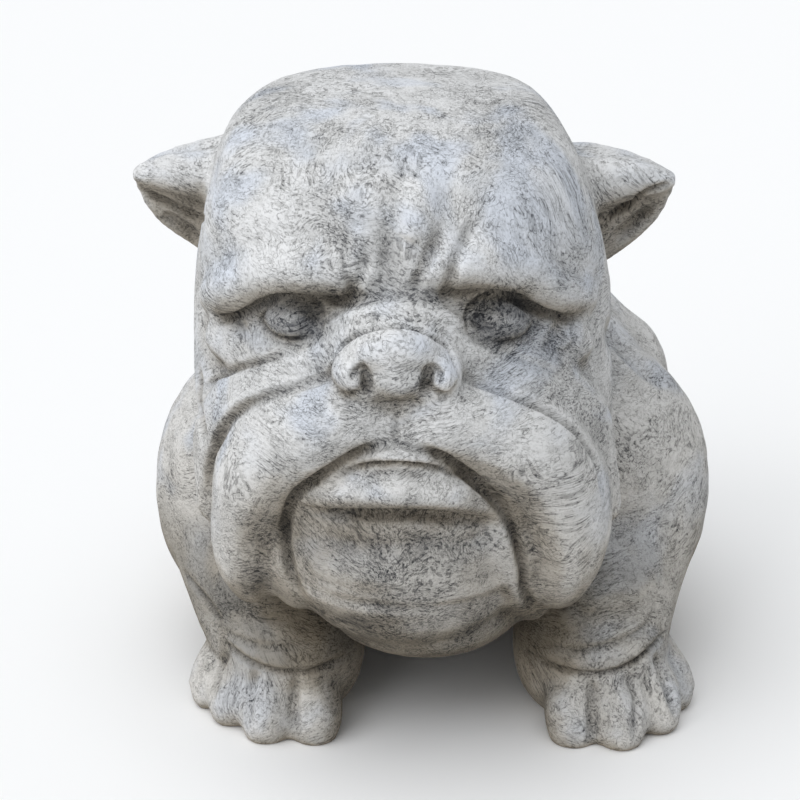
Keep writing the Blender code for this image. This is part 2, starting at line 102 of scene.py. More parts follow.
def seen(across, down, depth):
    """The point at Y = depth that stands at a mark of the picture."""
    return Vector(EYE) + sight((across, down)) * (depth - EYE[1])


def smooth_path(rows, step):
    """Rows of numbers along a smooth curve through the given rows, a step apart or less."""
    rows = [np.array(row, dtype=float) for row in rows]
    rows = [2 * rows[0] - rows[1]] + rows + [2 * rows[-1] - rows[-2]]
    path = []
    for a, b, c, d in zip(rows, rows[1:], rows[2:], rows[3:]):
        count = max(1, math.ceil(np.linalg.norm((c - b)[:3]) / step))
        for k in range(count):
            t = k / count
            path.append(0.5 * (2 * b + (c - a) * t + (2 * a - 5 * b + 4 * c - d) * t ** 2
                               + (3 * b - a - 3 * c + d) * t ** 3))
    path.append(rows[-2])
    return np.array(path)


def put_in_scene(name, data):
    held = bpy.data.objects.new(name, data)
    bpy.context.scene.collection.objects.link(held)
    return held


def settle(lump):
    """The shape that an object's modifiers make of it; the object itself goes."""
    depsgraph = bpy.context.evaluated_depsgraph_get()
    settled = bpy.data.meshes.new_from_object(lump.evaluated_get(depsgraph))
    bpy.data.objects.remove(lump)
    return settled


def read_points(shape, what="co"):
    values = np.empty(len(shape.vertices) * 3)
    shape.vertices.foreach_get(what, values)
    return values.reshape(-1, 3)


def write_points(shape, points):
    shape.vertices.foreach_set("co", points.ravel())
    shape.update()


def read_edges(shape):
    ends = np.empty(len(shape.edges) * 2, dtype=np.int64)
    shape.edges.foreach_get("vertices", ends)
    return ends.reshape(-1, 2)


def add_layer(shape, name, values):
    layer = shape.attributes.new(name, "FLOAT", "POINT")
    layer.data.foreach_set("value", values.astype(np.float32))


def ray_target(shape):
    """The shape's faces, sorted so that rays can be shot at them."""
    return BVHTree.FromPolygons([v.co for v in shape.vertices],
                                [p.vertices for p in shape.polygons])


class Clay:
    """Closed forms that overlap, gathered to be fused into one skin."""

    def __init__(self):
        self.points = []
        self.faces = []
        self.count = 0
        unit = bmesh.new()
        bmesh.ops.create_uvsphere(unit, u_segments=BALL_SEGMENTS, v_segments=BALL_RINGS,
                                  radius=1.0)
        self.unit_points = np.array([v.co[:] for v in unit.verts])
        self.unit_faces = [[v.index for v in f.verts] for f in unit.faces]
        unit.free()

    def add(self, points, faces):
        self.points.append(np.array(points) * STATUE_HEIGHT)
        self.faces += [[k + self.count for k in face] for face in faces]
        self.count += len(points)

    def ball(self, centre, radii, turn=(0.0, 0.0, 0.0)):
        """A ball with three radii, turned about X, Y and Z by degrees."""
        angles = [math.radians(angle) for angle in turn]
        turned = (Matrix.Rotation(angles[2], 3, "Z") @ Matrix.Rotation(angles[1], 3, "Y")
                  @ Matrix.Rotation(angles[0], 3, "X"))
        points = (self.unit_points * np.array(radii)) @ np.array(turned).T + np.array(centre)
        self.add(points, self.unit_faces)

    def chain(self, stations, flat=(1.0, 1.0, 1.0)):
        """Overlapping balls along a smooth curve; a station is x, y, z and a radius."""
        thinnest = min(station[3] for station in stations)
        for x, y, z, radius in smooth_path(stations, BALL_STEP * thinnest):
            self.ball((x, y, z), [radius * share for share in flat])

    def drawn_chain(self, stations, flat=(1.0, 1.0, 1.0)):
        """A chain whose stations are a mark's across and down, its depth and a radius."""
        placed = [(*seen(across, down, depth), size) for across, down, depth, size in stations]
        self.chain(placed, flat)

    def stack(self, levels):
        """A closed form lofted through level outlines.

        A level is z, left, right, front, back and the squareness of its outline."""
        rings = smooth_path(levels, LEVEL_STEP)
        sides = LEVEL_SIDES
        points = []
        for z, left, right, front, back, square in rings:
            for k in range(sides):
                c = math.cos(2 * math.pi * k / sides)
                s = math.sin(2 * math.pi * k / sides)
                across = math.copysign(abs(c) ** (2 / square), c)
                along = math.copysign(abs(s) ** (2 / square), s)
                points.append((left + (right - left) * (1 + across) / 2,
                               front + (back - front) * (1 + along) / 2, z))
        faces = [list(range(sides))[::-1], [(len(rings) - 1) * sides + k for k in range(sides)]]
        for level in range(len(rings) - 1):
            for k in range(sides):
                here, there = level * sides, level * sides + sides
                n = (k + 1) % sides
                faces.append([here + k, here + n, there + n, there + k])
        self.add(points, faces)

    def fuse(self, name, grain, rounds, halvings=0):
        """One skin over all the forms, smoothed by the given rounds and then subdivided."""
        shape = bpy.data.meshes.new(name)
        shape.from_pydata(np.concatenate(self.points).tolist(), [], self.faces)
        lump = put_in_scene(name, shape)
        skin = lump.modifiers.new("Skin", "REMESH")
        skin.mode = "VOXEL"
        skin.voxel_size = grain
        soften = lump.modifiers.new("Soften", "SMOOTH")
        soften.factor = ROUND_SOFTNESS
        soften.iterations = rounds
        if halvings:
            divide = lump.modifiers.new("Divide", "SUBSURF")
            divide.levels = halvings
            divide.render_levels = halvings
        return settle(lump)


# The masses of the figure

def lay_body(clay):
    """Ribcage, rump, haunches, shoulders, nape and stub of a tail."""
    clay.ball((0.0, 0.10, 0.36), (0.385, 0.30, 0.31))
    clay.ball((0.10, 0.12, 0.44), (0.225, 0.20, 0.165))
    clay.ball((0.281, 0.10, 0.412), (0.117, 0.14, 0.118))
    clay.ball((-0.235, 0.10, 0.405), (0.115, 0.14, 0.120))
    clay.ball((-0.02, 0.05, 0.775), (0.215, 0.13, 0.125))
    clay.ball((0.0, 0.19, 0.53), (0.23, 0.145, 0.14))
    clay.ball((0.0, -0.06, 0.40), (0.30, 0.24, 0.26))
    clay.ball((0.02, -0.22, 0.29), (0.23, 0.16, 0.13))
    clay.ball((0.0, 0.27, 0.21), (0.30, 0.22, 0.24))
    clay.chain([(0.0, 0.44, 0.10, 0.055), (0.0, 0.50, 0.13, 0.04)])
    for side in (-1, 1):
        clay.ball((side * 0.275, -0.05, 0.28), (0.178, 0.19, 0.24))
        clay.ball((side * 0.26, 0.17, 0.16), (0.15, 0.23, 0.18), (0.0, 0.0, side * 8))


def lay_head(clay):
    """Skull, cheeks and jaw, set a little to the figure's right."""
    clay.stack([
        (0.20, -0.20, 0.15, -0.36, -0.05, 2.2),
        (0.30, -0.29, 0.22, -0.41, 0.00, 2.6),
        (0.42, -0.340, 0.262, -0.44, 0.02, 2.9),
        (0.52, -0.358, 0.266, -0.45, 0.03, 2.7),
        (0.62, -0.360, 0.262, -0.43, 0.03, 2.4),
        (0.69, -0.356, 0.258, -0.422, 0.03, 2.5),
        (0.73, -0.351, 0.250, -0.430, 0.03, 2.6),
        (0.77, -0.342, 0.241, -0.450, 0.03, 2.7),
        (0.82, -0.333, 0.226, -0.458, 0.02, 2.6),
        (0.87, -0.321, 0.208, -0.445, 0.02, 2.5),
        (0.91, -0.308, 0.188, -0.412, 0.01, 2.5),
        (0.945, -0.280, 0.162, -0.352, -0.01, 2.4),
        (0.968, -0.238, 0.128, -0.28, -0.03, 2.4),
        (0.982, -0.16, 0.05, -0.20, -0.07, 2.2),
    ])
    clay.ball((-0.02, 0.02, 0.62), (0.25, 0.20, 0.22))
    clay.ball((-0.02, -0.26, 0.27), (0.16, 0.14, 0.10))


def lay_legs(clay):
    """Forelegs down to the wrist, one a little stouter than the other, and hind feet."""
    for side, wrist, stout in ((-1, -0.223, 0.118), (1, 0.247, 0.124)):
        clay.chain([(side * 0.285, -0.10, 0.24, 0.145), (side * 0.257, -0.19, 0.15, stout + 0.007),
                    (wrist, -0.240, 0.085, stout)])
        clay.chain([(side * 0.312, 0.12, 0.055, 0.074), (side * 0.310, -0.05, 0.045, 0.064)],
                   (1.0, 1.0, 0.85))


# The forms on top of them

def lay_brows(clay):
    clay.drawn_chain([(400, 270, -0.424, 0.034), (372, 270, -0.430, 0.036),
                      (330, 266, -0.430, 0.042),
                      (285, 266, -0.415, 0.042), (245, 282, -0.374, 0.042),
                      (222, 294, -0.330, 0.035)])
    clay.drawn_chain([(404, 268, -0.424, 0.034), (432, 264, -0.430, 0.036),
                      (475, 258, -0.430, 0.042),
                      (515, 266, -0.408, 0.043), (550, 285, -0.364, 0.044),
                      (575, 293, -0.325, 0.035)])
    clay.drawn_chain([(358, 290, -0.426, 0.028), (398, 287, -0.432, 0.031),
                      (438, 288, -0.426, 0.028)])


def lay_eyes(clay):
    clay.ball(seen(293, 317, -0.405), (0.042, 0.052, 0.032))
    clay.ball(seen(500, 318, -0.405), (0.046, 0.052, 0.034))
    clay.drawn_chain([(256, 322, -0.392, 0.014), (270, 341, -0.410, 0.016),
                      (295, 349, -0.420, 0.017), (318, 338, -0.428, 0.015),
                      (330, 318, -0.432, 0.014)])
    clay.drawn_chain([(460, 316, -0.432, 0.014), (474, 340, -0.428, 0.015),
                      (500, 351, -0.420, 0.017), (529, 343, -0.410, 0.016),
                      (543, 325, -0.392, 0.014)])
    clay.ball(seen(336, 309, -0.418), (0.027, 0.03, 0.020))
    clay.ball(seen(458, 307, -0.418), (0.027, 0.03, 0.020))
    clay.drawn_chain([(345, 331, -0.430, 0.023), (330, 348, -0.432, 0.030),
                      (296, 358, -0.415, 0.032), (254, 352, -0.380, 0.034),
                      (228, 336, -0.350, 0.034)])
    clay.drawn_chain([(449, 330, -0.430, 0.023), (464, 348, -0.432, 0.030),
                      (500, 360, -0.415, 0.032), (544, 354, -0.380, 0.034),
                      (572, 340, -0.350, 0.034)])


def lay_nose(clay):
    clay.ball(seen(396, 351, -0.500), (0.066, 0.056, 0.040), (-25, 0, 0))
    clay.ball(seen(397, 373, -0.506), (0.046, 0.048, 0.033))
    for across, inward in ((354, 366), (440, 428)):
        clay.ball(seen(across, 370, -0.500), (0.032, 0.046, 0.035))
        clay.ball(seen(inward, 382, -0.496), (0.030, 0.044, 0.022))
    clay.drawn_chain([(374, 397, -0.490, 0.022), (397, 399, -0.492, 0.024),
                      (420, 397, -0.490, 0.022)])
    clay.drawn_chain([(318, 358, -0.446, 0.027), (333, 341, -0.456, 0.024),
                      (350, 325, -0.468, 0.021), (373, 317, -0.476, 0.020),
                      (397, 314, -0.479, 0.020), (421, 317, -0.476, 0.020),
                      (444, 325, -0.468, 0.021), (461, 341, -0.456, 0.024),
                      (476, 358, -0.446, 0.027)])


def lay_muzzle(clay):
    """The hanging upper lips, from under the nose to the ends of the jowls."""
    clay.drawn_chain([(384, 410, -0.470, 0.052), (345, 415, -0.470, 0.062),
                      (302, 432, -0.450, 0.074), (270, 466, -0.415, 0.076),
                      (252, 512, -0.395, 0.060), (250, 550, -0.385, 0.054),
                      (254, 576, -0.375, 0.038)], (1.0, 1.25, 1.0))
    clay.drawn_chain([(410, 410, -0.470, 0.052), (450, 415, -0.470, 0.062),
                      (500, 428, -0.450, 0.074), (540, 456, -0.420, 0.080),
                      (560, 502, -0.400, 0.077), (563, 542, -0.395, 0.064),
                      (556, 572, -0.390, 0.052)], (1.0, 1.25, 1.0))


def lay_folds(clay):
    """The cheek folds that run above the muzzle, and the clay at the foot of each groove."""
    clay.drawn_chain([(330, 352, -0.450, 0.034), (298, 364, -0.430, 0.034),
                      (262, 378, -0.405, 0.032), (232, 395, -0.375, 0.030),
                      (213, 423, -0.345, 0.026), (205, 455, -0.325, 0.020)])
    clay.drawn_chain([(462, 352, -0.450, 0.034), (496, 363, -0.430, 0.034),
                      (530, 375, -0.405, 0.036), (566, 392, -0.375, 0.036),
                      (590, 416, -0.345, 0.030), (601, 448, -0.325, 0.024)])
    clay.drawn_chain([(322, 384, -0.452, 0.038), (276, 396, -0.430, 0.044),
                      (250, 410, -0.398, 0.046), (232, 432, -0.366, 0.046),
                      (222, 464, -0.345, 0.042), (220, 500, -0.335, 0.036)])
    clay.drawn_chain([(468, 384, -0.452, 0.038), (515, 397, -0.430, 0.044),
                      (546, 412, -0.402, 0.048), (572, 434, -0.368, 0.048),
                      (590, 466, -0.345, 0.042), (598, 502, -0.335, 0.036)])


def lay_mouth(clay):
    """Lower lip, the tongue's edge behind it, chin and throat."""
    clay.drawn_chain([(304, 495, -0.470, 0.022), (326, 489, -0.496, 0.026),
                      (352, 488, -0.518, 0.027), (396, 488, -0.531, 0.027),
                      (446, 490, -0.518, 0.027), (470, 495, -0.496, 0.026),
                      (488, 505, -0.470, 0.021)], (1.0, 1.3, 1.0))
    clay.drawn_chain([(334, 468, -0.484, 0.017), (362, 456, -0.508, 0.021),
                      (398, 449, -0.522, 0.025), (433, 456, -0.510, 0.021),
                      (461, 468, -0.484, 0.017)], (1.0, 1.5, 1.0))
    clay.drawn_chain([(366, 450, -0.482, 0.032), (330, 469, -0.462, 0.036),
                      (304, 496, -0.448, 0.040), (294, 522, -0.434, 0.042),
                      (292, 552, -0.422, 0.043), (302, 582, -0.398, 0.041)])
    clay.drawn_chain([(426, 450, -0.482, 0.032), (458, 467, -0.470, 0.037),
                      (482, 488, -0.458, 0.040), (500, 514, -0.446, 0.044),
                      (507, 548, -0.432, 0.046), (514, 578, -0.410, 0.044),
                      (530, 596, -0.374, 0.036)])
    clay.drawn_chain([(318, 514, -0.456, 0.036), (350, 514, -0.476, 0.040),
                      (396, 515, -0.486, 0.042), (445, 517, -0.476, 0.040),
                      (476, 521, -0.450, 0.036)])
    clay.ball(seen(396, 540, -0.430), (0.155, 0.104, 0.085))
    clay.ball(seen(398, 562, -0.412), (0.162, 0.110, 0.090))
    clay.ball(seen(408, 580, -0.385), (0.158, 0.118, 0.086))
    clay.ball(seen(424, 597, -0.350), (0.152, 0.122, 0.078))


def lay_ears(clay):
    """Each ear is a flap over a leaf, with the hollow open below the flap's edge."""
    left = ((-0.30, 0.783), (-0.375, 0.802), (-0.436, 0.828))
    right = ((0.215, 0.771), (0.284, 0.793), (0.342, 0.820))
    for root, middle, tip in (left, right):
        clay.chain([(root[0], -0.105, root[1], 0.102), (middle[0], -0.12, middle[1], 0.066),
                    (tip[0], -0.135, tip[1], 0.016)], (1.0, 0.35, 1.0))
        clay.chain([(root[0], -0.150, root[1] + 0.045, 0.044),
                    (middle[0], -0.155, middle[1] + 0.034, 0.033),
                    (tip[0], -0.150, tip[1] + 0.004, 0.016)], (1.0, 0.8, 1.0))


def lay_paws(clay):
    left = [(-0.354, -0.248, 0.032), (-0.316, -0.294, 0.038), (-0.258, -0.338, 0.042),
            (-0.184, -0.338, 0.045)]
    right = [(0.213, -0.346, 0.045), (0.285, -0.356, 0.043), (0.346, -0.316, 0.040),
             (0.380, -0.256, 0.032)]
    for toes, heel in ((left, -0.25), (right, 0.28)):
        clay.ball((heel, -0.26, 0.035), (0.115, 0.11, 0.06))
        for x, y, radius in toes:
            knuckle = (x + 0.25 * (heel - x), y + 0.07, 0.062, radius)
            clay.chain([knuckle, (x, y, 0.040, radius), (x, y - 0.02, 0.020, radius * 0.92)])


# Strokes drawn on the figure: name, marks, half width, depth pressed in, which raises the clay
# where it is below zero

FACE_STROKES = [
    ("brow edge, left", [(218, 320), (242, 314), (265, 303), (284, 296), (318, 297),
                         (338, 300), (352, 300)], 0.011, 0.014),
    ("brow edge, right", [(440, 296), (462, 292), (486, 291), (515, 298), (534, 309),
                          (563, 318), (580, 316)], 0.011, 0.014),
    ("brow edge, middle", [(350, 301), (374, 298), (398, 296), (424, 297), (450, 298)],
     0.014, 0.004),
    ("crease round the nose", [(330, 382), (332, 362), (346, 342), (364, 331), (384, 326),
                               (410, 327), (431, 335), (450, 350), (460, 376)], 0.007, 0.011),
    ("nostril, left", [(353, 380), (354, 372), (360, 367), (368, 371)], 0.008, 0.009),
    ("nostril, right", [(441, 380), (440, 372), (434, 367), (426, 371)], 0.008, 0.009),
    ("nostril mouth, left", [(363, 370), (366, 382), (367, 396)], 0.012, 0.011),
    ("nostril mouth, right", [(431, 370), (427, 382), (426, 396)], 0.012, 0.011),
    ("nose wing, left", [(333, 382), (339, 391), (349, 395), (359, 391)], 0.007, 0.007),
    ("nose wing, right", [(459, 380), (453, 390), (444, 395), (434, 391)], 0.007, 0.007),
    ("lip parting", [(396, 398), (396, 414), (396, 438)], 0.005, 0.003),
    ("lip parting foot", [(396, 428), (396, 434), (396, 440)], 0.009, 0.004),
    ("cheek groove, left", [(328, 378), (303, 385), (274, 393), (246, 406), (230, 419),
                            (217, 441), (210, 470), (210, 495)], 0.013, 0.012),
    ("cheek groove, right", [(463, 378), (486, 386), (515, 396), (543, 408), (568, 423),
                             (586, 442), (598, 465), (603, 490)], 0.013, 0.012),
    ("lip line, left", [(396, 441), (366, 451), (341, 462), (318, 478), (297, 495),
                        (287, 518), (286, 550), (294, 580), (304, 594)], 0.012, 0.014),
    ("lip line, right", [(396, 441), (418, 449), (441, 457), (461, 469), (479, 485),
                         (496, 500), (508, 518), (518, 545), (524, 570), (525, 592),
                         (533, 607)], 0.012, 0.015),
    ("tongue edge", [(340, 473), (352, 469), (372, 465), (398, 464), (424, 466), (444, 470),
                     (456, 474)], 0.006, 0.010),
    ("lower lip edge", [(300, 509), (330, 511), (372, 513), (418, 514), (464, 519),
                        (490, 521)], 0.017, 0.008),
    ("chin edge", [(300, 580), (330, 598), (370, 607), (420, 610), (470, 603), (505, 590)],
     0.016, 0.004),
    ("upper fold, left", [(206, 386), (216, 379), (235, 369), (258, 362), (280, 355)],
     0.008, 0.010),
    ("upper fold, left, inner", [(270, 360), (300, 347), (326, 332), (352, 316)], 0.014, 0.005),
    ("upper fold, right", [(446, 318), (474, 336), (508, 355), (545, 369), (580, 384)],
     0.014, 0.006),
    ("under eye, right", [(556, 350), (566, 352), (574, 344), (577, 334)], 0.008, 0.005),
    ("furrow, left", [(386, 180), (392, 220), (390, 255), (386, 288)], 0.022, 0.008),
    ("furrow, left, outer", [(348, 298), (360, 276), (368, 250)], 0.013, 0.006),
    ("furrow, middle", [(440, 232), (429, 256), (420, 274), (413, 292)], 0.014, 0.009),
    ("furrow, right", [(476, 222), (464, 242), (454, 266), (447, 292)], 0.015, 0.011),
    ("furrow, brow left", [(346, 272), (350, 288), (354, 302)], 0.010, 0.005),
    ("forehead boss", [(425, 180), (419, 212), (408, 240)], 0.036, -0.012),
    ("brow boss, left", [(362, 225), (366, 262)], 0.026, -0.006),
]

LIMB_STROKES = [
    ("back behind the shoulder", [(605, 330), (640, 364), (664, 384)], 0.030, 0.012),
    ("neck, left", [(200, 375), (199, 405), (204, 438)], 0.016, 0.014),
    ("ear hollow, left", [(162, 216), (182, 228), (198, 240)], 0.020, 0.014),
    ("ear hollow, right", [(652, 210), (634, 224), (616, 240)], 0.020, 0.014),
    ("ear flap edge, left", [(142, 190), (160, 199), (180, 209), (204, 219)], 0.009, 0.012),
    ("ear flap edge, right", [(669, 184), (646, 193), (627, 205), (607, 217)], 0.009, 0.012),
    ("wrist, left", [(226, 644), (245, 659), (264, 668), (288, 672), (312, 671),
                     (344, 657)], 0.008, 0.010),
    ("wrist fold, left", [(218, 628), (246, 642), (275, 647), (310, 646)], 0.011, 0.004),
    ("wrist, right", [(535, 655), (548, 664), (572, 672), (602, 674), (632, 664),
                      (654, 646), (664, 632)], 0.008, 0.010),
    ("wrist fold, right", [(545, 644), (575, 650), (605, 646), (636, 634), (652, 618),
                           (656, 600)], 0.010, 0.006),
    ("arm fold, right", [(575, 612), (605, 614), (640, 606)], 0.012, 0.003),
    ("arm fold, left", [(225, 605), (260, 617), (300, 622)], 0.012, 0.003),
    ("elbow, left", [(184, 572), (197, 590), (208, 603), (221, 624)], 0.010, 0.007),
    ("toes, left 1", [(227, 652), (217, 674), (211, 700)], 0.013, 0.008),
    ("toes, left 2", [(258, 670), (251, 692), (248, 724)], 0.014, 0.008),
    ("toes, left 3", [(298, 672), (294, 698), (296, 730)], 0.014, 0.008),
    ("toes, right 1", [(588, 676), (593, 700), (592, 740)], 0.014, 0.008),
    ("toes, right 2", [(628, 674), (637, 698), (637, 738)], 0.014, 0.008),
    ("toes, right 3", [(655, 656), (666, 682), (677, 716)], 0.013, 0.011),
]

# The rim of each eye: the mark at its middle, and its half width and half height in marks
EYE_RINGS = (((293, 317), (31, 23)), ((500, 318), (34, 25)))
EYE_RING_MARKS = 25
EYE_RING_HALF_WIDTH = 0.006
EYE_RING_DEPTH = 0.006

# Marks from one landed point to the next, and the least square of the way between two of them;
# the share of a stroke's length over which its end fades, and the share of its depth left there
STROKE_STEP = 4.0
LEAST_RUN = 1e-12
STROKE_END = 0.25
STROKE_END_DEPTH = 0.2


def land(tree, marks):
    """Points where sight lines through smoothly joined marks meet the figure."""
    eye = Vector(EYE) * STATUE_HEIGHT
    landed = []
    for mark in smooth_path(marks, STROKE_STEP):
        hit = tree.ray_cast(eye, sight(mark).normalized())[0]
        if hit is not None:
            landed.append(hit[:])
    return np.array(landed)


def press(points, normals, line, half_width, depth):
    """Push the points near a line inwards; a negative depth raises them."""
    reach = half_width * STATUE_HEIGHT
    near = np.all((points > line.min(axis=0) - reach) & (points < line.max(axis=0) + reach), axis=1)
    index = np.nonzero(near)[0]
    spot = points[index]
    nearest = np.full(len(index), np.inf)
    place = np.zeros(len(index))
    for k, (start, end) in enumerate(zip(line, line[1:])):
        run = end - start
        share = np.clip((spot - start) @ run / max(run @ run, LEAST_RUN), 0.0, 1.0)
        gap = np.linalg.norm(spot - start - share[:, None] * run, axis=1)
        closer = gap < nearest
        nearest[closer] = gap[closer]
        place[closer] = (k + share[closer]) / (len(line) - 1)
    fade = np.clip(np.minimum(place, 1 - place) / STROKE_END, 0.0, 1.0) ** 0.5
    bowl = np.clip(1 - (nearest / reach) ** 2, 0.0, 1.0) ** 2
    share_left = STROKE_END_DEPTH + (1 - STROKE_END_DEPTH) * fade
    points[index] -= normals[index] * (bowl * share_left * depth * STATUE_HEIGHT)[:, None]


def carve(shape):
    """Press every stroke into the shape."""
    tree = ray_target(shape)
    points = read_points(shape)
    normals = read_points(shape, "normal")
    for name, marks, half_width, depth in FACE_STROKES + LIMB_STROKES:
        line = land(tree, marks)
        if len(line) > 1:
            press(points, normals, line, half_width, depth)
    for (across, down), (wide, high) in EYE_RINGS:
        ring = [(across + wide * math.cos(a), down + high * math.sin(a))
                for a in np.linspace(0, 2 * math.pi, EYE_RING_MARKS)]
        press(points, normals, land(tree, ring), EYE_RING_HALF_WIDTH, EYE_RING_DEPTH)
    write_points(shape, points)


# The hand-worked surface: name, cell size and height in metres, seed

WORKED_SURFACE = [
    ("lumps left by the hand", 0.030, 0.0012, 11),
    ("smeared clay", 0.014, 0.0007, 12),
    ("brushed grain", 0.0070, 0.0004, 13),
]


def lattice_noise(points, cell, seed):
    """Smooth noise from 0 to 1 through a lattice of seeded numbers, one cell apart."""
    place = (points - points.min(axis=0)) / cell
    base = np.floor(place).astype(int)
    share = place - base
    share = share * share * (3 - 2 * share)
    size = base.max(axis=0) + 2
    values = np.random.default_rng(seed).random(tuple(size))
    total = np.zeros(len(points))
    for corner in np.ndindex(2, 2, 2):
        weight = np.ones(len(points))
        for axis in range(3):
            weight *= share[:, axis] if corner[axis] else 1 - share[:, axis]
        x, y, z = (base + np.array(corner)).T
        total += weight * values[x, y, z]
    return total


def work_surface(shape):
    """Lumps and smears that a hand leaves in the clay."""
    points = read_points(shape)
    normals = read_points(shape, "normal")
    rise = np.zeros(len(points))
    for name, cell, height, seed in WORKED_SURFACE:
        rise += (lattice_noise(points, cell, seed) - 0.5) * height
    points += normals * rise[:, None]
    write_points(shape, points)


def model_form():
    core = Clay()
    lay_body(core)
    lay_head(core)
    lay_legs(core)
    core_shape = core.fuse("core", CORE_GRAIN, CORE_ROUNDS)
    dressed = Clay()
    dressed.add(read_points(core_shape) / STATUE_HEIGHT,
                [list(p.vertices) for p in core_shape.polygons])
    lay_brows(dressed)
    lay_eyes(dressed)
    lay_nose(dressed)
    lay_muzzle(dressed)
    lay_folds(dressed)
    lay_mouth(dressed)
    lay_ears(dressed)
    lay_paws(dressed)
    shape = dressed.fuse("dressed", SKIN_GRAIN, SKIN_ROUNDS, halvings=1)
    carve(shape)
    work_surface(shape)
    return shape


def thin_out(shape):
    """Fewer triangles, with the creases kept."""
    rough = put_in_scene("rough", shape)
    collapse = rough.modifiers.new("Collapse", "DECIMATE")
    collapse.ratio = SHOWN_TRIANGLES / (2 * len(shape.polygons))
    collapse.use_collapse_triangulate = True
    return settle(rough)


def cut_sole(shape):
    """Cut everything below Z = 0 away and close the soles with flat faces."""
    solid = bmesh.new()
    solid.from_mesh(shape)
    for v in solid.verts:
        if abs(v.co.z) < SOLE_SNAP:
            v.co.z = 0.0
    everything = solid.verts[:] + solid.edges[:] + solid.faces[:]
    bmesh.ops.bisect_plane(solid, geom=everything, dist=WELD_REACH, plane_co=(0, 0, 0),
                           plane_no=(0, 0, -1), clear_outer=True)
    rims = [edge for edge in solid.edges if edge.is_boundary]
    bmesh.ops.triangle_fill(solid, edges=rims, use_beauty=True, normal=(0, 0, -1))
    bmesh.ops.triangulate(solid, faces=solid.faces[:])
    bmesh.ops.recalc_face_normals(solid, faces=solid.faces[:])
    solid.to_mesh(shape)
    solid.free()


def fit_over_solid(shape):
    """Shift the figure sideways so that it stands where the solid stands."""
    points = read_points(shape)
    low, high = CAD_BOX
    shift = Vector(((low.x + high.x) / 2 - (points[:, 0].min() + points[:, 0].max()) / 2,
                    (low.y + high.y) / 2 - (points[:, 1].min() + points[:, 1].max()) / 2, 0.0))
    shape.transform(Matrix.Translation(shift))
    return shift


# How hollow or raised each spot is, which the paint follows with painted shade in crevices and
# hollows

def relax(values, ends, count, rounds):
    """Values moved halfway to the mean of their neighbours, round after round."""
    degree = np.bincount(ends.ravel(), minlength=count)[:, None]
    for _ in range(rounds):
        total = np.empty_like(values)
        for axis in range(values.shape[1]):
            column = values[:, axis]
            total[:, axis] = (np.bincount(ends[:, 0], column[ends[:, 1]], count)
                              + np.bincount(ends[:, 1], column[ends[:, 0]], count))
        values = 0.5 * values + 0.5 * total / degree
    return values


# Layers of painted shade in hollows: name, rounds of averaging, and the depth in metres that counts
# as one

HOLLOW_SHADE = [("crevice_shade", 6, 0.0010), ("hollow", 45, 0.0060)]


def mark_hollow_shade(shape):
    """A number for each vertex: above zero where it lies lower than the form around it."""
    points = read_points(shape)
    normals = read_points(shape, "normal")
    ends = read_edges(shape)
    for name, rounds, full in HOLLOW_SHADE:
        around = relax(points, ends, len(points), rounds)
        depth = np.einsum("ij,ij->i", around - points, normals) / full
        depth = relax(depth[:, None], ends, len(points), 1)[:, 0]
        # The finish reads this layer as painted shade in crevices and hollows
        add_layer(shape, name, np.clip(depth, -1.0, 1.0))


# Stains, painted shade and painted highlights in the wash: name, mark at the middle, half width,
# half height and strength, which is below zero where a highlight is painted. The right leg and paw
# carry stains; the throat, grooves, nostril wings, nose foot, brow root and jowl ends carry painted
# shade; the muzzle, lower lip and left jowl carry painted highlights

STAINS_AND_PAINTED_LIGHT = [
    ("left eye", (292, 318), 29, 21, 0.44),
    ("right eye", (500, 319), 32, 23, 0.46),
    ("throat", (420, 622), 95, 26, 0.16),
    ("chin", (400, 560), 90, 36, 0.05),
    ("leg, right", (592, 628), 62, 34, 0.10),
    ("paw, right", (612, 700), 64, 40, 0.10),
    ("muzzle highlight", (396, 424), 70, 16, -0.07),
    ("lower lip highlight", (396, 486), 72, 10, -0.08),
    ("jowl highlight, left", (232, 480), 26, 34, -0.04),
    ("groove, right", (582, 438), 15, 24, 0.20),
    ("groove, left", (214, 440), 9, 30, 0.12),
    ("leg, left", (290, 640), 62, 26, 0.06),
    ("left nostril wing", (362, 380), 13, 13, 0.16),
    ("right nostril wing", (428, 380), 13, 13, 0.16),
    ("nose foot", (396, 386), 18, 9, 0.14),
    ("brow root", (396, 293), 62, 15, 0.16),
    ("jowl, left", (268, 528), 30, 14, 0.16),
    ("jowl end, left", (252, 566), 15, 28, 0.10),
    ("jowl end, right", (520, 555), 16, 46, 0.18),
    ("chin, left", (366, 562), 36, 20, 0.14),
    ("chin, right", (438, 556), 34, 20, 0.18),
    ("temple, left", (262, 104), 34, 24, 0.14),
    ("temple, right", (505, 128), 40, 24, 0.10),
    ("cheek, right", (560, 350), 24, 14, 0.16),
    ("shoulder, right", (664, 440), 26, 30, 0.14),
    ("arm, left", (238, 600), 40, 22, 0.14),
]

# A patch is full as far out as its core and gone at its edge, both in half widths. Skin whose
# normal points back along Y by more than the last value has none
PATCH_CORE = 0.7
PATCH_EDGE = 1.5
PATCH_BACK = 0.1


